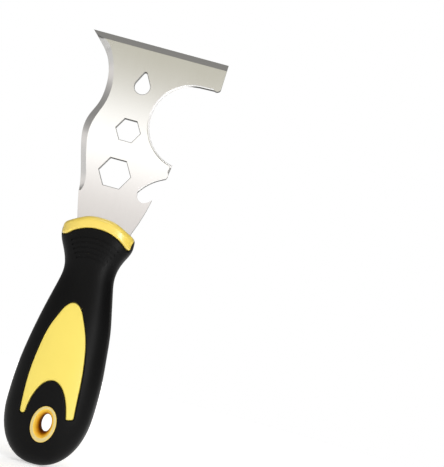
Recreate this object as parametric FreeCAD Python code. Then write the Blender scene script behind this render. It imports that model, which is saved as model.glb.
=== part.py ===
import FreeCAD, Part
import math
import os
from FreeCAD import Vector

# Painter's multi tool. Millimetres.
# X runs across the blade (hooked tip at -X, long arm at +X), Z along the tool towards the
# scraping edge, and the front face looks towards -Y. The origin is the middle of the hand grip.
FRONT = -1
REAR = 1
REACH = 100.0            # longer than the tool is thick or wide: for cutting right through
TOUCH = 0.02             # how near counts as lying on a surface
NEAR = 0.2               # slack for picking edges by their place

# Blade
BLADE_T = 2.5            # plate thickness
EDGE_Z = 144.8           # height of the straight scraping edge
TIP_X = -28.2            # hooked tip, left end of the scraping edge
ARM_X = 36.8             # square right end of the scraping edge
BEVEL_W = 3.3            # width of the ground bevel on the scraping edge
EDGE_LAND = 0.35         # steel left at a ground edge
ARM_LOW_Z = 131.0        # underside of the arm at its end
SPUR_FOOT_Z = 87.2       # lower end of the spur's upper edge
NOTCH_R = 19.5           # roller-cleaning notch
NOTCH_AT = (28.0, 111.3)
HEX_BIG_AF = 13.0        # wrench openings, across flats
HEX_BIG_AT = (-0.5, 81.9)
HEX_SMALL_AF = 10.0
HEX_SMALL_AT = (0.1, 102.6)
DROP_R = 3.6             # teardrop nail slot: round end and pointed end
DROP_AT = (0.9, 124.1)
DROP_TIP_R = 0.8
DROP_TIP_AT = (0.8, 130.2)
OPENING_REACH = 7.8      # no punched opening reaches further from its middle
HOLE_EDGE = 0.3          # broken edge of the punched openings
ROLLED_EDGE = 1.0        # rounded edge along the arm, the roller notch and the spur
SPUR_EDGE = 0.4          # rounded edge under the spur
SPUR_TIP = (22.2, 85.0)  # the spur's lower edge, from its tip to the opener notch
OPENER_TOP = (11.9, 76.0)

# Tang, hidden in the handle
ROOT_Z = 57.5            # where the blade's side edges enter the collar
SHOULDER_Z = 53.0
GROUND_END_Z = 70.2      # lower end of the ground left edge
TANG_X = 1.0
TANG_TOP_W = 16.0
TANG_END_W = 12.0
TANG_END_Z = -12.0
TANG_END_R = 4.0
PIN_R = 2.0
PIN_LENGTH = 10.0
PIN_CHAMFER = 0.25
PIN_HEIGHTS = {"upper": 32.0, "lower": 4.0}

# Handle: stations from the collar to the belly, as height, half width, half depth, centre shift.
# Below the belly it closes to the butt on one superellipse.
STATIONS = [
    (60.0, 16.6, 9.7, 0.2),
    (56.0, 16.65, 9.7, 0.2),
    (52.0, 16.7, 9.7, 0.2),
    (48.6, 16.4, 9.6, 0.2),
    (44.0, 14.4, 9.1, 0.15),
    (40.0, 12.7, 8.8, 0.35),
    (35.0, 11.75, 8.8, 0.7),
    (28.0, 12.7, 9.4, 0.9),
    (20.0, 14.5, 10.4, 0.9),
    (12.0, 16.2, 11.3, 0.9),
    (0.0, 18.0, 12.2, 0.6),
    (-12.0, 19.3, 12.6, 0.4),
    (-26.0, 19.65, 12.4, 0.2),
]
BUTT_Z = -53.6
BUTT_POWER = 2.2
BUTT_SHIFT = -0.45       # further centre shift from the belly to the butt
BUTT_STEPS = 9
BUTT_LAST = 0.998        # last section, as a share of the way to the butt
SECTION_POWER = 2.35     # superellipse of the handle's cross-section
SECTION_POINTS = 20
SKIN = 2.2               # thickness of the soft overmould
PAD_SINK = 0.45          # how far the window pads lie below the soft grip
CORE_TOP_Z = 43.0

# The window's outline, clockwise from the left leg: outer edge, right leg's end, arch, left leg's end
WINDOW_EDGE = [(-11.22, -30.9), (-11.75, -23.0), (-11.7, -12.0), (-10.65, -2.0), (-8.7, 7.6), (-6.0, 14.4),
               (-3.9, 18.2), (-0.8, 20.0), (2.35, 18.2), (4.6, 14.4), (7.5, 7.6), (9.95, -2.0),
               (11.25, -11.5), (11.95, -22.0), (12.4, -28.6)]
RIGHT_LEG_END = [(12.2, -29.55), (11.5, -30.0), (10.1, -30.3), (9.4, -30.1)]
WINDOW_ARCH = [(9.15, -29.4), (8.2, -25.7), (5.85, -20.0), (2.6, -16.2), (-0.2, -15.2), (-3.1, -16.2),
               (-6.1, -20.0), (-8.1, -25.7), (-8.82, -30.9)]
LEFT_LEG_END = (-10.02, -32.1)
WINDOW_TOP_Z = 20.0
WINDOW_LOW_Z = -32.1
WINDOW_GAP = 0.25        # parting groove round each pad
WINDOW_ROUND = 0.4       # rounded edge of the soft opening
PAD_ROUND = 0.5          # rounded edge of the pad

# Hang hole
EYELET_AT = (0.55, -34.65)
EYELET_LEAN = -2.5
EYELET_HALF_W = 5.55
EYELET_HALF_H = 8.1
EYELET_WALL = 1.15
EYELET_WAIST_HALF_W = 2.45   # the bore narrows to its middle
EYELET_WAIST_HALF_H = 4.0
EYELET_STEPS = 4
EYELET_HALF_DEPTH = 13.0  # past both of its mouths
EYELET_FLARE = 0.55      # rounding of the inside and outside of each mouth
EYELET_ROUND = 0.35
EYELET_PROUD = 0.25      # how far the lining stands out of the grip

# Collar and grip rim: arches in the front view, outlined for the right half
ARCH_SHIFT = 0.5
RIM_TOP_Z = 54.5
RIM_LOW_Z = 49.0
RIM_SIDE = [(5.0, 53.9), (9.0, 52.4), (12.0, 50.5), (13.6, 49.3), (16.0, RIM_LOW_Z), (20.0, RIM_LOW_Z)]
RIM_ROUND = 0.8
CROWN_TOP_Z = 59.9
CROWN_SIDE = [(6.0, 59.3), (10.0, 57.7), (14.0, 55.8), (20.0, 53.8)]
BEAD_SHIFT = 0.2
BEAD_HALF_W = 16.6
BEAD_HALF_D = 10.2
BEAD_TOP_ROUND = 2.6
BEAD_FOOT_ROUND = 1.0
BEAD_LOW_Z = 45.0        # below the lowest point of the rim
TONGUE_IN_X = 14.0       # a soft tongue up each narrow side: side, half depth, height of its top
TONGUES = [(1, 4.0, 54.3), (-1, 2.5, 53.0)]
GROOVE_COUNT = 5
GROOVE_W = 0.8
GROOVE_DEPTH = 0.35
GROOVE_TOP_Z = 50.5      # the first and longest groove; each one below is shorter and flatter
GROOVE_PITCH = 2.2
GROOVE_HALF_W = 11.0
GROOVE_SHORTER = 1.1
GROOVE_RISE = 3.4
GROOVE_FLATTER = 0.45


def at(x, z, y=0.0):
    return Vector(x, y, z)


def line(a, b):
    return Part.LineSegment(at(*a), at(*b)).toShape()


def arc(a, middle, b):
    return Part.Arc(at(*a), at(*middle), at(*b)).toShape()


def smooth(points):
    curve = Part.BSplineCurve()
    curve.interpolate([at(*p) for p in points])
    return curve.toShape()


def plate(edges, y_low, y_high):
    """A flat outline in the front view, given thickness."""
    wire = Part.Wire(Part.__sortEdges__(edges))
    face = Part.Face(wire)
    face.translate(Vector(0, y_low, 0))
    return face.extrude(Vector(0, y_high - y_low, 0))


def through(edges):
    return plate(edges, -REACH, REACH)


def hexagon(centre, across_flats):
    radius = across_flats / math.sqrt(3)
    corners = []
    for step in range(6):
        turn = math.radians(60 * step)
        corners.append((centre[0] + radius * math.cos(turn), centre[1] + radius * math.sin(turn)))
    return [line(corners[i], corners[(i + 1) % 6]) for i in range(6)]


def teardrop():
    """The two tangents between a large and a small circle, closed by an arc at each end."""
    rise = DROP_TIP_AT[1] - DROP_AT[1]
    lift = math.asin((DROP_R - DROP_TIP_R) / rise)
    side = (math.cos(lift), math.sin(lift))
    low = [(DROP_AT[0] + s * DROP_R * side[0], DROP_AT[1] + DROP_R * side[1]) for s in (1, -1)]
    high = [(DROP_TIP_AT[0] + s * DROP_TIP_R * side[0], DROP_TIP_AT[1] + DROP_TIP_R * side[1])
            for s in (1, -1)]
    return [
        line(low[0], high[0]),
        arc(high[0], (DROP_TIP_AT[0], DROP_TIP_AT[1] + DROP_TIP_R), high[1]),
        line(high[1], low[1]),
        arc(low[1], (DROP_AT[0], DROP_AT[1] - DROP_R), low[0]),
    ]


def ground_edge():
    """The sharpened left edge, from the hooked tip down."""
    return smooth([
        (TIP_X, EDGE_Z), (-23.0, 139.6), (-18.8, 134.2), (-16.2, 127.3), (-15.5, 120.0),
        (-16.8, 111.4), (-19.4, 105.3), (-20.4, 98.4), (-19.2, 91.0), (-17.0, 83.0), (-14.3, GROUND_END_Z)])


def blade_outline():
    notch_x, notch_z = NOTCH_AT
    spur = (24.0, notch_z - math.sqrt(NOTCH_R ** 2 - (notch_x - 24.0) ** 2))
    hook = (19.2, 74.3)
    tang_right = TANG_X + TANG_TOP_W / 2
    tang_left = TANG_X - TANG_TOP_W / 2
    end_right = TANG_X + TANG_END_W / 2
    end_left = TANG_X - TANG_END_W / 2
    end_z = TANG_END_Z
    curl = TANG_END_R * (1 - math.sqrt(0.5))
    return [
        line((TIP_X, EDGE_Z), (ARM_X, EDGE_Z)),
        line((ARM_X, EDGE_Z), (36.4, 133.0)),
        arc((36.4, 133.0), (35.8, 131.5), (34.3, ARM_LOW_Z)),
        line((34.3, ARM_LOW_Z), (notch_x, notch_z + NOTCH_R)),
        arc((notch_x, notch_z + NOTCH_R), (notch_x - NOTCH_R, notch_z), spur),
        line(spur, (23.3, SPUR_FOOT_Z)),
        arc((23.3, SPUR_FOOT_Z), (23.1, 86.0), SPUR_TIP),
        arc(SPUR_TIP, (16.2, 81.1), OPENER_TOP),
        arc(OPENER_TOP, (12.7, 73.4), (15.2, 71.9)),
        arc((15.2, 71.9), (17.3, 72.6), hook),
        arc(hook, (17.3, 66.0), (14.4, ROOT_Z)),
        line((14.4, ROOT_Z), (13.4, SHOULDER_Z)),
        line((13.4, SHOULDER_Z), (tang_right, SHOULDER_Z)),
        line((tang_right, SHOULDER_Z), (end_right, end_z + TANG_END_R)),
        arc((end_right, end_z + TANG_END_R), (end_right - curl, end_z + curl),
            (end_right - TANG_END_R, end_z)),
        line((end_right - TANG_END_R, end_z), (end_left + TANG_END_R, end_z)),
        arc((end_left + TANG_END_R, end_z), (end_left + curl, end_z + curl),
            (end_left, end_z + TANG_END_R)),
        line((end_left, end_z + TANG_END_R), (tang_left, SHOULDER_Z)),
        line((tang_left, SHOULDER_Z), (-10.9, SHOULDER_Z)),
        line((-10.9, SHOULDER_Z), (-11.3, ROOT_Z)),
        arc((-11.3, ROOT_Z), (-12.9, 64.0), (-14.3, GROUND_END_Z)),
        ground_edge(),
    ]


def straight_bevel():
    """A long wedge along the scraping edge, carried past both ends."""
    front = -BLADE_T / 2
    depth = BLADE_T - EDGE_LAND
    over = 2.0
    slope = depth / BEVEL_W
    corners = [
        (front, EDGE_Z - BEVEL_W),
        (front + depth + over * slope, EDGE_Z + over),
        (front - over, EDGE_Z + over),
        (front - over, EDGE_Z - BEVEL_W),
    ]
    points = [Vector(TIP_X - over, y, z) for y, z in corners]
    face = Part.Face(Part.makePolygon(points + points[:1]))
    return face.extrude(Vector(ARM_X - TIP_X + 2 * over, 0, 0))


def curved_bevel():
    """What lies in front of the slope down to the left edge. The slope ends in a short round step."""
    front = -BLADE_T / 2
    land = BLADE_T / 2 - EDGE_LAND
    inner = [(-27.6, 145.4), (-23.5, 142.1), (-20.4, 140.6), (-16.8, 136.0), (-13.9, 128.4),
             (-12.6, 119.5), (-13.6, 112.0), (-16.2, 104.6), (-17.3, 97.5), (-16.4, 91.0),
             (-14.1, 82.0), (-12.5, 73.5), (-13.3, 70.3)]
    outer = [(-30.0, 146.0), (-24.2, 139.0), (-19.8, 133.5), (-17.0, 127.0), (-16.2, 120.0),
             (-17.5, 111.6), (-20.1, 105.3), (-21.1, 98.4), (-19.9, 91.0), (-17.6, 83.0),
             (-15.4, 73.0), (-14.9, 70.0)]
    inner_edge = smooth([(x, z, front) for x, z in inner])
    outer_edge = smooth([(x, z, land) for x, z in outer])
    return Part.makeRuledSurface(inner_edge, outer_edge).extrude(Vector(0, -REACH, 0))


def punched_openings():
    return [
        through(hexagon(HEX_BIG_AT, HEX_BIG_AF)),
        through(hexagon(HEX_SMALL_AT, HEX_SMALL_AF)),
        through(teardrop()),
    ]


def pin_holes():
    holes = []
    for height in PIN_HEIGHTS.values():
        holes.append(Part.makeCylinder(PIN_R, 2 * REACH, Vector(TANG_X, -REACH, height), Vector(0, 1, 0)))
    return holes


def blade():
    steel = plate(blade_outline(), -BLADE_T / 2, BLADE_T / 2)
    steel = steel.makeFillet(ROLLED_EDGE, [edge for edge in steel.Edges if borders_notch(edge)])
    steel = steel.makeFillet(SPUR_EDGE, [edge for edge in steel.Edges if borders_spur_foot(edge)])
    for opening in punched_openings() + pin_holes():
        steel = steel.cut(opening)
    steel = steel.cut(straight_bevel())
    steel = single(steel.cut(curved_bevel()))
    return steel.makeChamfer(HOLE_EDGE, [edge for edge in steel.Edges if borders_opening(edge)])


def on_a_face(edge):
    """Whether an edge lies flat in the blade's front or rear face."""
    box = edge.BoundBox
    return box.YLength < NEAR and abs(abs(box.YMin + box.YMax) - BLADE_T) < NEAR


def borders_notch(edge):
    """The underside of the arm, the roller notch and the spur's upper edge."""
    box = edge.BoundBox
    beside = box.XMin > NOTCH_AT[0] - NOTCH_R - NEAR and box.ZMin > SPUR_FOOT_Z - NEAR
    return on_a_face(edge) and beside and box.ZMax < ARM_LOW_Z + NEAR


def borders_spur_foot(edge):
    """The spur's lower edge."""
    box = edge.BoundBox
    along = box.XMin > OPENER_TOP[0] - NEAR and box.XMax < SPUR_TIP[0] + NEAR
    return on_a_face(edge) and along and box.ZMin > OPENER_TOP[1] - NEAR and box.ZMax < SPUR_TIP[1] + NEAR


def borders_opening(edge):
    box = edge.BoundBox
    for x, z in (HEX_BIG_AT, HEX_SMALL_AT, DROP_AT):
        near_x = max(abs(box.XMin - x), abs(box.XMax - x)) < OPENING_REACH
        near_z = max(abs(box.ZMin - z), abs(box.ZMax - z)) < OPENING_REACH
        if near_x and near_z and on_a_face(edge):
            return True
    return False


def single(shape):
    """A boolean's result as one plain solid."""
    return shape.removeSplitter().Solids[0]


def section(height, half_w, half_d, shift):
    """One closed rounded cross-section of the handle."""
    points = []
    for step in range(SECTION_POINTS):
        turn = 2 * math.pi * step / SECTION_POINTS
        cos, sin = math.cos(turn), math.sin(turn)
        x = half_w * math.copysign(abs(cos) ** (2 / SECTION_POWER), cos)
        y = half_d * math.copysign(abs(sin) ** (2 / SECTION_POWER), sin)
        points.append(Vector(shift + x, y, height))
    curve = Part.BSplineCurve()
    curve.interpolate(points, PeriodicFlag=True)
    return Part.Wire(curve.toShape())


def handle_body(inset, depth_inset=None):
    """The handle's outer form, drawn in by an inset all round."""
    if depth_inset is None:
        depth_inset = inset
    wires = []
    for height, half_w, half_d, shift in STATIONS:
        wires.append(section(height, half_w - inset, half_d - depth_inset, shift))
    belly_z, belly_w, belly_d, belly_shift = STATIONS[-1]
    drop = belly_z - BUTT_Z - inset
    for step in range(1, BUTT_STEPS + 1):
        way = BUTT_LAST * math.sin(math.pi / 2 * step / BUTT_STEPS)
        share = (1 - way ** BUTT_POWER) ** (1 / BUTT_POWER)
        wires.append(section(belly_z - way * drop, (belly_w - inset) * share,
                             (belly_d - depth_inset) * share, belly_shift + way * BUTT_SHIFT))
    return Part.makeLoft(wires, True)


def mirrored_curve(side, top, shift=0.0):
    """A smooth line that is the same on both sides of a peak."""
    left = [(shift - x, z) for x, z in reversed(side)]
    right = [(shift + x, z) for x, z in side]
    return smooth(left + [(shift, top)] + right)


def slab(low_z, high_z):
    """Everything between two heights."""
    return Part.makeBox(2 * REACH, 2 * REACH, high_z - low_z, Vector(-REACH, -REACH, low_z))


def under_curve(curve):
    """Everything under a line drawn across the front view."""
    ends = sorted((vertex.Point for vertex in curve.Vertexes), key=lambda point: point.x)
    left, right = [(point.x, point.z) for point in ends]
    low_left, low_right = (left[0], -REACH), (right[0], -REACH)
    return through([curve, line(right, low_right), line(low_right, low_left), line(low_left, left)])


def grown(ring, amount):
    """A clockwise ring of points, each moved outwards square to the line between its neighbours."""
    moved = []
    for i, (x, z) in enumerate(ring):
        before, after = ring[i - 1], ring[(i + 1) % len(ring)]
        run_x, run_z = after[0] - before[0], after[1] - before[1]
        share = amount / math.hypot(run_x, run_z)
        moved.append((x - run_z * share, z + run_x * share))
    return moved


def window_prism(grow=0.0):
    """An arched pad with two legs, drawn from front to rear and grown all round."""
    ring = grown(WINDOW_EDGE + RIGHT_LEG_END + WINDOW_ARCH + [LEFT_LEG_END], grow)
    edge = ring[:len(WINDOW_EDGE)]
    outer_turn, outer_low, inner_low, inner_turn = ring[len(edge):len(edge) + len(RIGHT_LEG_END)]
    arch = ring[len(edge) + len(RIGHT_LEG_END):-1]
    return through([
        smooth(edge),
        arc(edge[-1], outer_turn, outer_low),
        line(outer_low, inner_low),
        arc(inner_low, inner_turn, arch[0]),
        smooth(arch),
        arc(arch[-1], ring[-1], edge[0]),
    ])


def oval(half_w, half_h, y):
    """The hang hole's upright oval at one depth."""
    x, z = EYELET_AT
    ring = Part.Ellipse(Vector(x, y, z + half_h), Vector(x + half_w, y, z), Vector(x, y, z)).toShape()
    ring.rotate(Vector(x, y, z), Vector(0, -1, 0), EYELET_LEAN)
    return Part.Wire(ring)


def oval_prism(half_w, half_h):
    return Part.Face(oval(half_w, half_h, -REACH)).extrude(Vector(0, 2 * REACH, 0))


def eyelet_bore():
    """The bore through the eyelet: widest at both mouths, narrowest half way through."""
    mouth_w = EYELET_HALF_W - EYELET_WALL
    mouth_h = EYELET_HALF_H - EYELET_WALL
    rings = []
    for step in range(-EYELET_STEPS, EYELET_STEPS + 1):
        share = step / EYELET_STEPS
        half_w = EYELET_WAIST_HALF_W + (mouth_w - EYELET_WAIST_HALF_W) * share ** 2
        half_h = EYELET_WAIST_HALF_H + (mouth_h - EYELET_WAIST_HALF_H) * share ** 2
        rings.append(oval(half_w, half_h, share * EYELET_HALF_DEPTH))
    return Part.makeLoft(rings, True)


def side_tongues():
    """The round-topped strips that carry the grip up each narrow side."""
    strips = []
    for side, half_d, top_z in TONGUES:
        x = ARCH_SHIFT + side * TONGUE_IN_X
        low_x = min(x, x + side * TONGUE_IN_X)
        centre_z = top_z - half_d
        strip = Part.makeBox(TONGUE_IN_X, 2 * half_d, centre_z + REACH, Vector(low_x, -half_d, -REACH))
        crown = Part.makeCylinder(half_d, TONGUE_IN_X, Vector(low_x, 0, centre_z), Vector(1, 0, 0))
        strips.append(strip.fuse(crown))
    return strips


def soft_reach():
    """Where the soft grip may be: under the arched rim, and up the two tongues."""
    return under_curve(mirrored_curve(RIM_SIDE, RIM_TOP_Z, ARCH_SHIFT)).fuse(side_tongues())


def arch_grooves(sound):
    """Fine grooves that repeat the rim's arch. They stop at the sound body beneath."""
    bands = []
    for count in range(GROOVE_COUNT):
        half_w = GROOVE_HALF_W - count * GROOVE_SHORTER
        rise = GROOVE_RISE - count * GROOVE_FLATTER
        top = GROOVE_TOP_Z - count * GROOVE_PITCH
        left, right = ARCH_SHIFT - half_w, ARCH_SHIFT + half_w
        edges = []
        for z in (top, top - GROOVE_W):
            edges.append(arc((left, z - rise), (ARCH_SHIFT, z), (right, z - rise)))
        for x in (left, right):
            edges.append(line((x, top - rise), (x, top - rise - GROOVE_W)))
        bands.append(through(edges).cut(sound))
    return bands


def lies_on(edge, shell):
    """Whether an edge follows the skin of another body, judged at three points along it."""
    length = edge.LastParameter - edge.FirstParameter
    for share in (0.5, 0.2, 0.8):
        spot = Part.Vertex(edge.valueAt(edge.FirstParameter + length * share))
        if shell.distToShape(spot)[0] > TOUCH:
            return False
    return True


def borders_window(edge):
    """Whether an edge is between the window's heights and keeps to one side of the handle."""
    box = edge.BoundBox
    between = box.ZMin > WINDOW_LOW_Z - 2 * WINDOW_GAP and box.ZMax < WINDOW_TOP_Z + 2 * WINDOW_GAP
    return between and box.YLength < SKIN


def borders_rim(edge):
    """Whether an edge is at the rim's height and rises along it."""
    box = edge.BoundBox
    return box.ZMin > RIM_LOW_Z - NEAR and box.ZMax > RIM_LOW_Z + RIM_ROUND


def split_skin(solid):
    """The same solid with its long skin divided in two faces, above and below the window."""
    split_z = WINDOW_TOP_Z + SKIN
    upper = solid.common(slab(split_z, REACH))
    lower = solid.common(slab(-REACH, split_z))
    return upper.fuse(lower).Solids[0]


def grip(outer, inner):
    """The soft overmould: a skin with an arched rim, side tongues, windows and grooves."""
    soft = outer.cut(inner)
    soft = soft.common(soft_reach())
    soft = soft.cut(window_prism(WINDOW_GAP))
    soft = soft.cut(oval_prism(EYELET_HALF_W, EYELET_HALF_H))
    for band in arch_grooves(handle_body(GROOVE_DEPTH)):
        soft = soft.cut(band)
    soft = single(soft)
    skin_edges = [edge for edge in soft.Edges if borders_window(edge) or borders_rim(edge)]
    skin_edges = [edge for edge in skin_edges if lies_on(edge, outer.Shells[0])]
    soft = soft.makeFillet(WINDOW_ROUND, [edge for edge in skin_edges if borders_window(edge)])
    return split_skin(soft.makeFillet(RIM_ROUND, [edge for edge in skin_edges if borders_rim(edge)]))


def borders_bead_foot(edge):
    """The long lower edge of the bead on each face, under its rounded crown."""
    box = edge.BoundBox
    one_side = box.YMin * box.YMax > 0
    return one_side and box.XLength > BEAD_HALF_W and box.ZMax < CROWN_TOP_Z - BEAD_TOP_ROUND - NEAR


def collar(inner, steel):
    """The rounded bead at the blade root, on a spigot that stands inside the grip."""
    bead = Part.Face(section(BEAD_LOW_Z, BEAD_HALF_W, BEAD_HALF_D, BEAD_SHIFT))
    bead = bead.extrude(Vector(0, 0, EDGE_Z - BEAD_LOW_Z))
    bead = single(bead.common(under_curve(mirrored_curve(CROWN_SIDE, CROWN_TOP_Z, ARCH_SHIFT))))
    crest = [edge for edge in bead.Edges if edge.BoundBox.ZMin > BEAD_LOW_Z + NEAR]
    bead = bead.makeFillet(BEAD_TOP_ROUND, crest)
    bead = single(bead.cut(soft_reach()))
    bead = bead.makeFillet(BEAD_FOOT_ROUND, [edge for edge in bead.Edges if borders_bead_foot(edge)])
    spigot = inner.common(slab(CORE_TOP_Z, RIM_TOP_Z))
    return single(bead.fuse(spigot).cut(steel))


def core_half(side, inner, steel, pins):
    """One half of the hard core, with the pad that fills the window on its face."""
    pad_skin = handle_body(0, PAD_SINK)
    hard = inner.common(slab(BUTT_Z, CORE_TOP_Z))
    hard = hard.fuse(pad_skin.common(window_prism()))
    hard = hard.cut(oval_prism(EYELET_HALF_W, EYELET_HALF_H))
    half_space = Part.makeBox(2 * REACH, REACH, 2 * REACH, Vector(-REACH, min(0, side * REACH), -REACH))
    hard = hard.common(half_space)
    for piece in [steel] + pins:
        hard = hard.cut(piece)
    hard = single(hard)
    pad_edges = [edge for edge in hard.Edges if lies_on(edge, pad_skin.Shells[0])]
    return hard.makeFillet(PAD_ROUND, pad_edges)


def tang_pin(height):
    pin = Part.makeCylinder(PIN_R, PIN_LENGTH, Vector(TANG_X, -PIN_LENGTH / 2, height), Vector(0, 1, 0))
    return pin.makeChamfer(PIN_CHAMFER, [edge for edge in pin.Edges if edge.BoundBox.YLength < PIN_R])


def hang_eyelet():
    """The oval lining of the hang hole. Its mouths follow the handle's curve."""
    skin = handle_body(0, -EYELET_PROUD)
    tube = skin.common(oval_prism(EYELET_HALF_W, EYELET_HALF_H))
    tube = single(tube.cut(eyelet_bore()))
    rims = [edge for edge in tube.Edges if edge.BoundBox.YLength < EYELET_HALF_H]
    rims.sort(key=lambda edge: edge.Length)
    tube = tube.makeFillet(EYELET_FLARE, rims[:2])
    rims = [edge for edge in tube.Edges if edge.BoundBox.YLength < EYELET_HALF_H]
    rims.sort(key=lambda edge: edge.Length)
    return tube.makeFillet(EYELET_ROUND, rims[-2:])


def build():
    outer = handle_body(0)
    inner = handle_body(SKIN)
    steel = blade()
    pins = {name: tang_pin(height) for name, height in PIN_HEIGHTS.items()}
    pieces = {
        "blade": steel,
        "collar": collar(inner, steel),
        "grip": grip(outer, inner),
        "front_core_half": core_half(FRONT, inner, steel, list(pins.values())),
        "rear_core_half": core_half(REAR, inner, steel, list(pins.values())),
        "hang_eyelet": hang_eyelet(),
    }
    for name, pin in pins.items():
        pieces[name + "_tang_pin"] = pin
    return pieces


os.makedirs("parts", exist_ok=True)
for name, shape in build().items():
    shape.exportStep(os.path.join("parts", name + ".step"))
    print(name, shape.isValid(), len(shape.Solids), round(shape.Volume))
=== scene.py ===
import math

import bpy
from mathutils import Matrix, Vector


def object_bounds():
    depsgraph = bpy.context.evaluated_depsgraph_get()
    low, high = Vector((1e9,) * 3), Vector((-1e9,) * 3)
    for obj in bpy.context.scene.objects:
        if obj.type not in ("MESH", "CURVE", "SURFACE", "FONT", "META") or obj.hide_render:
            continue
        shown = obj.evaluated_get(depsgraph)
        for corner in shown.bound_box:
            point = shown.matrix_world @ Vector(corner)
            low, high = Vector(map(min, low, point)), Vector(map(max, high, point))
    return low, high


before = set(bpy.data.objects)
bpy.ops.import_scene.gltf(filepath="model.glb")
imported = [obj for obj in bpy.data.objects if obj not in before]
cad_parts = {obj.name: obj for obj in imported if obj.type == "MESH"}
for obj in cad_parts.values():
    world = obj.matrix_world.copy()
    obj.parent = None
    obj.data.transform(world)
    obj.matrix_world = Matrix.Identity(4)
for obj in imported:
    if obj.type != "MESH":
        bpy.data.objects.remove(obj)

CAD_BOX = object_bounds()
MM = 0.001

# Camera: half a metre in front, looking up a little, and rolled so the tool leans to the right
CAMERA_AT = Vector((54.18, -497.3, 15.86)) * MM
LOOK_UP = math.radians(6.0)
ROLL = math.radians(15.166)
SENSOR = 36.0
DISTANCE = 500.0
VIEW_HEIGHT = 213.65        # what the picture's height covers at the tool, in mm

# Studio surroundings as the steel reflects them: sine of the direction's height, then colour.
# One bright band stands in front; the sides fall off gently from eye level to overhead.
SURROUND_STRENGTH = 1.8
IN_FRONT = [
    (-1.00, (0.42, 0.42, 0.42)),
    (-0.02, (0.42, 0.41, 0.40)),
    (0.04, (0.46, 0.44, 0.43)),
    (0.090, (0.47, 0.445, 0.43)),
    (0.115, (0.53, 0.50, 0.49)),
    (0.133, (0.76, 0.73, 0.71)),
    (0.145, (0.95, 0.95, 0.93)),
    (0.165, (1.00, 1.00, 0.99)),
    (0.182, (0.90, 0.89, 0.87)),
    (0.195, (0.60, 0.59, 0.565)),
    (0.207, (0.46, 0.45, 0.41)),
    (0.222, (0.36, 0.345, 0.29)),
    (0.245, (0.35, 0.34, 0.28)),
    (0.300, (0.35, 0.34, 0.28)),
    (0.42, (0.24, 0.235, 0.21)),
    (0.60, (0.16, 0.157, 0.15)),
    (1.00, (0.165, 0.162, 0.155)),
]
ASIDE = [
    (-1.00, (0.38, 0.38, 0.38)),
    (-0.08, (0.40, 0.395, 0.39)),
    (-0.02, (0.50, 0.485, 0.475)),
    (0.09, (0.46, 0.445, 0.435)),
    (0.15, (0.33, 0.32, 0.315)),
    (0.27, (0.23, 0.225, 0.22)),
    (0.42, (0.18, 0.177, 0.172)),
    (1.00, (0.18, 0.177, 0.172)),
]
BEHIND_DIM = 0.5            # how much is left of it behind the tool, and far to the right
RIGHT_DIM = 0.3
BACKGROUND = 1.0            # strength of the white that the camera sees
FLOOR_RADIUS = 0.8          # in metres, like the softboxes
FLOOR_SIDES = 96
FLOOR_GLOW = 0.47           # at the middle of the floor
RIM_GLOW = 0.62             # near its rim

# Patches of painted light and shade on the blade, in the tool's own frame: centre, then how far each
# reaches
NOTCH_AT = (28.0 * MM, 0.0, 111.3 * MM)     # the roller notch, whose right-facing rolled side gets a painted highlight, a pale matt colour
NOTCH_REACH = 20.9 * MM
SPUR_AT = (24.0 * MM, 0.0, 89.0 * MM)       # the spur's tip, whose rolled edge gets painted shade, a matt grey in place of its speckled highlight
SPUR_REACH = 3.4 * MM
HORN_AT = (-28.2 * MM, 0.0, 144.8 * MM)     # the horn at the top left, whose left-facing edge gets painted shade, a darker steel colour
HORN_REACH = 15.0 * MM

# The eyelet's bore, darkened by painted shade: how far from the tool's middle it is palest and deepest, and
# its colours between
BORE_MOUTH = 11.5 * MM
BORE_WAIST = 3.0 * MM
BORE_SHADE_COLOURS = [
    (0.0, (0.90, 0.62, 0.09)),
    (0.5, (0.70, 0.35, 0.015)),
    (1.0, (0.30, 0.10, 0.003)),
]

# Yellow plastics: the darker and the lighter tone of their cloud
CORE_YELLOWS = ((0.785, 0.63, 0.115), (0.815, 0.66, 0.13))
COLLAR_YELLOWS = ((0.76, 0.57, 0.09), (0.81, 0.615, 0.11))
COLLAR_GLOSS = 0.8

AIM = (0, 0, 0.04)          # what the large softboxes point at: a little above mid-grip

# How a pattern is stretched: not at all, or drawn out upright
EVEN = (1.0, 1.0, 1.0)
UPRIGHT = (1.0, 1.0, 0.03)


# Node trees

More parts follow.
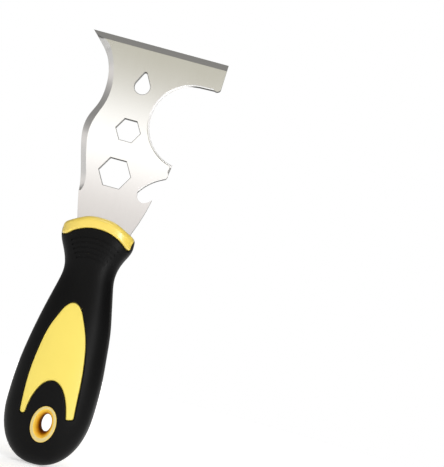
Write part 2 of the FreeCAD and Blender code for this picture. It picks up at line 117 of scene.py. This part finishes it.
class Nodes:
    """A short way to build a node tree."""

    def __init__(self, tree):
        self.tree = tree
        tree.nodes.clear()

    def add(self, kind, inputs=None, **settings):
        """A new node with its settings, and its inputs linked or set."""
        node = self.tree.nodes.new(kind)
        for key, value in settings.items():
            setattr(node, key, value)
        for key, value in (inputs or {}).items():
            self.put(node, key, value)
        return node

    def put(self, node, key, value):
        """Links a node or a socket to an input, or sets the input to a plain value."""
        socket = node.inputs[key]
        if isinstance(value, bpy.types.NodeSocket):
            self.tree.links.new(value, socket)
        elif isinstance(value, bpy.types.Node):
            self.tree.links.new(value.outputs[0], socket)
        else:
            socket.default_value = value

    def math(self, operation, a, b=0.0):
        return self.add("ShaderNodeMath", {0: a, 1: b}, operation=operation)

    def mapped(self, value, low, high, to_low=0.0, to_high=1.0):
        """A smooth step of a value between two limits."""
        names = {"Value": value, "From Min": low, "From Max": high, "To Min": to_low, "To Max": to_high}
        return self.add("ShaderNodeMapRange", names, interpolation_type="SMOOTHSTEP")

    def ramp(self, value, stops):
        """Colours along a value, from stops of a place and a colour."""
        node = self.add("ShaderNodeValToRGB", {0: value})
        elements = node.color_ramp.elements
        while len(elements) < len(stops):
            elements.new(0.5)
        for element, (place, tint) in zip(elements, stops):
            element.position = place
            element.color = (*tint, 1.0)
        return node

    def mix(self, share, a, b):
        """The first colour at share 0, the second at share 1."""
        node = self.add("ShaderNodeMix", data_type="RGBA")
        self.put(node, 0, share)
        self.put(node, 6, a)
        self.put(node, 7, b)
        return node.outputs[2]

    def noise(self, vector, scale, detail=2.0, roughness=0.5):
        names = {"Vector": vector, "Scale": scale, "Detail": detail, "Roughness": roughness}
        return self.add("ShaderNodeTexNoise", names)

    def place(self):
        """Object coordinates, in metres."""
        return self.add("ShaderNodeTexCoord").outputs["Object"]

    def stretched(self, scales):
        """Object coordinates scaled along each axis: a small scale draws a pattern out that way."""
        return self.add("ShaderNodeVectorMath", {0: self.place(), 1: scales}, operation="MULTIPLY")

    def near(self, point, reach, share):
        """One within a share of the reach from a point, and zero beyond the reach."""
        node = self.add("ShaderNodeVectorMath", {0: self.place(), 1: point}, operation="DISTANCE")
        return self.mapped(node.outputs["Value"], reach, share * reach)

    def facing(self):
        """The surface's own direction, along the object's axes."""
        normal = self.add("ShaderNodeNewGeometry").outputs["Normal"]
        turned = self.add("ShaderNodeVectorTransform", {0: normal}, vector_type="NORMAL",
                          convert_from="WORLD", convert_to="OBJECT")
        return self.add("ShaderNodeSeparateXYZ", {0: turned})


def new_material(name):
    """An empty material and its node tree."""
    material = bpy.data.materials.new(name)
    material.use_nodes = True
    return material, Nodes(material.node_tree)


def shaded(nodes, **inputs):
    """Ends a material in a Principled shader, whose inputs are given with _ for each space."""
    names = {key.replace("_", " "): value for key, value in inputs.items()}
    shader = nodes.add("ShaderNodeBsdfPrincipled", names)
    nodes.add("ShaderNodeOutputMaterial", {"Surface": shader})


def colour(r, g, b):
    return (r, g, b, 1.0)


# Materials

def steel():
    """Satin plate with a fine upright grain. Sheared walls are matt and darker, and painted shade makes the
    downward-facing ones darkest.

    Painted highlight makes the rolled side of the roller notch pale; painted shade dulls the spur's tip and
    darkens the horn's edge."""
    material, nodes = new_material("satin_steel")
    grain = nodes.noise(nodes.stretched(UPRIGHT), 2600.0, 3.0, 0.6)
    cloud = nodes.noise(nodes.stretched(EVEN), 45.0)
    facing = nodes.facing()
    flatness = nodes.math("ABSOLUTE", facing.outputs["Y"])
    # painted shade: sheared walls facing down get a near-black colour
    shade_facing_down = nodes.mapped(facing.outputs["Z"], -0.2, -0.8)
    to_right = nodes.mapped(facing.outputs["X"], 0.15, 0.30)
    to_left = nodes.mapped(facing.outputs["X"], -0.2, -0.35)
    sheared = nodes.mapped(flatness, 0.79, 0.72)
    # painted highlight: the notch's right-facing rolled side is pale and matt
    notch_highlight = nodes.math("MULTIPLY", nodes.near(NOTCH_AT, NOTCH_REACH, 0.99), to_right)
    # painted shade: matt grey on the rolled edge at the spur's tip
    spur_tip_shade = nodes.math("MULTIPLY", nodes.near(SPUR_AT, SPUR_REACH, 0.9), nodes.mapped(flatness, 0.995, 0.95))
    # painted shade: darker steel on the horn's left-facing edge
    horn_shade = nodes.math("MULTIPLY", nodes.near(HORN_AT, HORN_REACH, 0.6), to_left)
    matt = nodes.math("MAXIMUM", sheared, nodes.math("MAXIMUM", notch_highlight, spur_tip_shade))
    plate = nodes.mix(grain, colour(0.735, 0.73, 0.72), colour(0.785, 0.78, 0.77))
    # painted shade: the horn's left-facing edge gets a darker plate colour
    plate = nodes.mix(horn_shade, plate, colour(0.48, 0.475, 0.465))
    # colour of sheared walls, with painted shade on those facing down
    wall = nodes.mix(shade_facing_down, colour(0.30, 0.295, 0.285), colour(0.06, 0.06, 0.058))
    # painted highlight: pale colour on the notch's rolled side
    wall = nodes.mix(notch_highlight, wall, colour(0.80, 0.79, 0.78))
    rough = nodes.math("ADD", nodes.math("MULTIPLY", grain, 0.04), nodes.math("MULTIPLY", cloud, 0.03))
    rough = nodes.math("ADD", rough, nodes.math("MULTIPLY", matt, 0.40))
    rough = nodes.math("ADD", rough, 0.12)
    bump = nodes.add("ShaderNodeBump", {"Height": grain, "Strength": 0.04, "Distance": 0.02 * MM})
    across = nodes.add("ShaderNodeVectorTransform", {0: (1.0, 0.0, 0.0)}, vector_type="VECTOR",
                       convert_from="OBJECT", convert_to="WORLD")
    shaded(nodes, Base_Color=nodes.mix(matt, plate, wall), Metallic=nodes.mapped(matt, 0.0, 1.0, 1.0, 0.1),
           Roughness=rough, Specular_IOR_Level=0.3, Anisotropic=0.6, Tangent=across, Normal=bump)
    return material


def soft_black():
    """Near-black soft plastic with a fine skin."""
    material, nodes = new_material("soft_black")
    skin = nodes.noise(nodes.stretched(EVEN), 2200.0, 3.0, 0.6)
    cloud = nodes.noise(nodes.stretched(EVEN), 60.0)
    tone = nodes.mix(cloud, colour(0.0027, 0.0027, 0.0028), colour(0.0040, 0.0040, 0.0041))
    rough = nodes.math("ADD", 0.36, nodes.math("MULTIPLY", cloud, 0.12))
    bump = nodes.add("ShaderNodeBump", {"Height": skin, "Strength": 0.25, "Distance": 0.04 * MM})
    shaded(nodes, Base_Color=tone, Roughness=rough, Normal=bump, Specular_IOR_Level=0.09)
    return material


def yellow_plastic(name, tones, gloss):
    """Moulded plastic, faintly clouded. Gloss is how much clear, smooth skin it has."""
    material, nodes = new_material(name)
    cloud = nodes.noise(nodes.stretched(EVEN), 70.0)
    skin = nodes.noise(nodes.stretched(EVEN), 3000.0)
    rough = nodes.math("ADD", 0.30, nodes.math("MULTIPLY", cloud, 0.10))
    bump = nodes.add("ShaderNodeBump", {"Height": skin, "Strength": 0.12, "Distance": 0.02 * MM})
    low, high = tones
    shaded(nodes, Base_Color=nodes.mix(cloud, colour(*low), colour(*high)), Roughness=rough, Normal=bump,
           Specular_IOR_Level=0.4, Coat_Weight=gloss, Coat_Roughness=0.25)
    return material


def eyelet_plastic():
    """Pale at the rims; inside the bore, painted shade deepens the colour to amber and brown by depth."""
    material, nodes = new_material("eyelet_plastic")
    place = nodes.add("ShaderNodeSeparateXYZ", {0: nodes.place()})
    from_middle = nodes.math("ABSOLUTE", place.outputs["Y"])
    flat = nodes.mapped(nodes.math("ABSOLUTE", nodes.facing().outputs["Y"]), 0.78, 0.97)
    # painted shade: the bore's colour darkens to amber and brown with depth
    bore_shade = nodes.ramp(nodes.mapped(from_middle, BORE_MOUTH, BORE_WAIST), BORE_SHADE_COLOURS)
    cloud = nodes.noise(nodes.stretched(EVEN), 300.0)
    rim = nodes.mix(cloud, colour(0.60, 0.49, 0.20), colour(0.66, 0.54, 0.24))
    shaded(nodes, Base_Color=nodes.mix(flat, bore_shade, rim), Roughness=nodes.mapped(flat, 0.0, 1.0, 0.75, 0.38),
           Specular_IOR_Level=nodes.mapped(flat, 0.0, 1.0, 0.02, 0.35))
    return material


def pin_steel():
    """Plain bright steel for the pins inside the handle."""
    material, nodes = new_material("pin_steel")
    grain = nodes.noise(nodes.stretched(EVEN), 1500.0)
    shaded(nodes, Base_Color=nodes.mix(grain, colour(0.5, 0.5, 0.5), colour(0.6, 0.6, 0.6)), Metallic=1.0,
           Roughness=nodes.math("ADD", 0.3, nodes.math("MULTIPLY", grain, 0.1)))
    return material


def floor_paper():
    """White paper that glows a little, more towards its rim, so that it melts into the background."""
    material, nodes = new_material("floor_paper")
    cloud = nodes.noise(nodes.stretched(EVEN), 8.0)
    from_middle = nodes.add("ShaderNodeVectorMath", {0: nodes.place()}, operation="LENGTH").outputs["Value"]
    glow = nodes.mapped(from_middle, 0.3 * FLOOR_RADIUS, 0.9 * FLOOR_RADIUS, FLOOR_GLOW, RIM_GLOW)
    shaded(nodes, Base_Color=nodes.mix(cloud, colour(0.92, 0.92, 0.92), colour(0.94, 0.94, 0.94)),
           Roughness=0.9, Specular_IOR_Level=0.1, Emission_Color=colour(1, 1, 1), Emission_Strength=glow)
    return material


def paint(material, *names):
    """Gives a material to every slot of the named CAD pieces."""
    for name in names:
        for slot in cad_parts[name].material_slots:
            slot.material = material


# Stage

def camera():
    """Looks up a little, rolled about its own line of sight."""
    data = bpy.data.cameras.new("camera")
    data.sensor_width = SENSOR
    data.lens = SENSOR * DISTANCE / VIEW_HEIGHT
    data.clip_start = 0.01
    data.clip_end = 100
    forward = Vector((0, math.cos(LOOK_UP), math.sin(LOOK_UP)))
    level_right = Vector((1, 0, 0))
    level_up = level_right.cross(forward)
    right = math.cos(ROLL) * level_right + math.sin(ROLL) * level_up
    up = right.cross(forward)
    obj = bpy.data.objects.new("camera", data)
    obj.matrix_world = Matrix.Translation(CAMERA_AT) @ Matrix((right, up, -forward)).transposed().to_4x4()
    bpy.context.scene.collection.objects.link(obj)
    bpy.context.scene.camera = obj


def floor():
    """A round pale table top under the butt."""
    mesh = bpy.data.meshes.new("floor")
    z = CAD_BOX[0][2]
    turns = [2 * math.pi * step / FLOOR_SIDES for step in range(FLOOR_SIDES)]
    rim = [(FLOOR_RADIUS * math.cos(turn), FLOOR_RADIUS * math.sin(turn), z) for turn in turns]
    mesh.from_pydata(rim, [], [range(FLOOR_SIDES)])
    mesh.materials.append(floor_paper())
    obj = bpy.data.objects.new("floor", mesh)
    bpy.context.scene.collection.objects.link(obj)


def surroundings():
    """White to the eye. Everything else is lit by a soft room, bright at eye level and dim overhead."""
    world = bpy.data.worlds.new("studio")
    world.use_nodes = True
    nodes = Nodes(world.node_tree)
    towards = nodes.add("ShaderNodeTexCoord").outputs["Generated"]
    direction = nodes.add("ShaderNodeSeparateXYZ", {0: towards})
    height = nodes.math("ADD", nodes.math("MULTIPLY", direction.outputs["Z"], 0.5), 0.5)
    front = nodes.ramp(height, [(0.5 + 0.5 * sine, tint) for sine, tint in IN_FRONT])
    side = nodes.ramp(height, [(0.5 + 0.5 * sine, tint) for sine, tint in ASIDE])
    aside = nodes.mapped(nodes.math("ABSOLUTE", direction.outputs["X"]), 0.35, 0.80)
    behind = nodes.mapped(direction.outputs["Y"], 0.0, 0.5, 1.0, BEHIND_DIM)
    right = nodes.mapped(direction.outputs["X"], 0.45, 0.75, 1.0, RIGHT_DIM)
    strength = nodes.math("MULTIPLY", nodes.math("MULTIPLY", behind, right), SURROUND_STRENGTH)
    lit = nodes.add("ShaderNodeBackground", {"Color": nodes.mix(aside, front, side), "Strength": strength})
    seen = nodes.add("ShaderNodeBackground", {"Color": colour(1, 1, 1), "Strength": BACKGROUND})
    eye = nodes.add("ShaderNodeLightPath").outputs["Is Camera Ray"]
    both = nodes.add("ShaderNodeMixShader", {0: eye, 1: lit, 2: seen})
    nodes.add("ShaderNodeOutputWorld", {"Surface": both})
    bpy.context.scene.world = world


def softbox(name, at, target, size, power, glossy=True):
    """A rectangular light that the camera can't see. Unless glossy, it doesn't show in reflections."""
    data = bpy.data.lights.new(name, "AREA")
    data.shape = "RECTANGLE"
    data.size, data.size_y = size
    data.energy = power
    obj = bpy.data.objects.new(name, data)
    aim = (Vector(at) - Vector(target)).to_track_quat("Z", "Y")
    obj.matrix_world = Matrix.Translation(Vector(at)) @ aim.to_matrix().to_4x4()
    obj.visible_camera = False
    obj.visible_glossy = glossy
    bpy.context.scene.collection.objects.link(obj)


def lights():
    softbox("key", (0.5, -0.9, 1.1), AIM, (0.9, 0.9), 2.4, glossy=False)
    softbox("fill", (-0.9, -0.8, 0.5), AIM, (0.8, 0.8), 1.5, glossy=False)
    softbox("back", (0.2, 1.2, 0.9), AIM, (1.0, 1.0), 9, glossy=False)
    softbox("grip_strip", (0.38, -0.45, 0.05), (0, 0, 0), (0.04, 0.26), 1.4)
    softbox("bead_light", (0.02, -0.45, 0.80), (0, 0, 0.05), (0.4, 0.2), 1.2)


bpy.context.scene.view_settings.view_transform = "Standard"
camera()
floor()
surroundings()
lights()
paint(steel(), "blade")
paint(soft_black(), "grip")
paint(yellow_plastic("core_plastic", CORE_YELLOWS, 0.0), "front_core_half", "rear_core_half")
paint(yellow_plastic("collar_plastic", COLLAR_YELLOWS, COLLAR_GLOSS), "collar")
paint(eyelet_plastic(), "hang_eyelet")
paint(pin_steel(), "upper_tang_pin", "lower_tang_pin")
